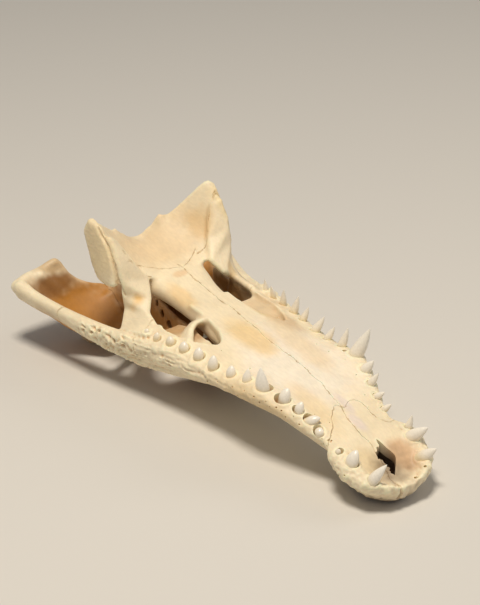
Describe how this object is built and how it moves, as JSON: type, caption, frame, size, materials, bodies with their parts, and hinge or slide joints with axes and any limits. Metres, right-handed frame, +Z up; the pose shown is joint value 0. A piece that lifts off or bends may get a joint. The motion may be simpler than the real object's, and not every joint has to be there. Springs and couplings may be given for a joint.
{
  "type": "crocodile cranium without its lower jaw, lying on its skull roof",
  "caption": "Dry crocodile cranium lying upside down, palate up, with long toothed snout, open eye sockets and two raised pterygoid wings behind the palate.",
  "frame": {"origin": "on the floor, under the middle of the skull's length and width", "axes": "+Y from the snout towards the back of the skull, +Z up, which is the palate's side because the skull lies on its roof, +X towards the animal's right"},
  "size_m": [0.2354, 0.4662, 0.1529],
  "materials": {
    "bone": "dry, cream-ivory bone, satin on the palate and matt on the sculptured outer faces"
  },
  "bodies": {
    "root": {"premaxilla_right": "bone", "premaxilla_left": "bone", "maxilla_right": "bone", "maxilla_left": "bone", "palatine_right": "bone", "palatine_left": "bone", "pterygoid": "bone", "ectopterygoid_right": "bone", "ectopterygoid_left": "bone", "jugal_right": "bone", "jugal_left": "bone", "quadrate_right": "bone", "quadrate_left": "bone", "frontal": "bone", "skull_table": "bone", "braincase": "bone"}
  },
  "joints": []
}
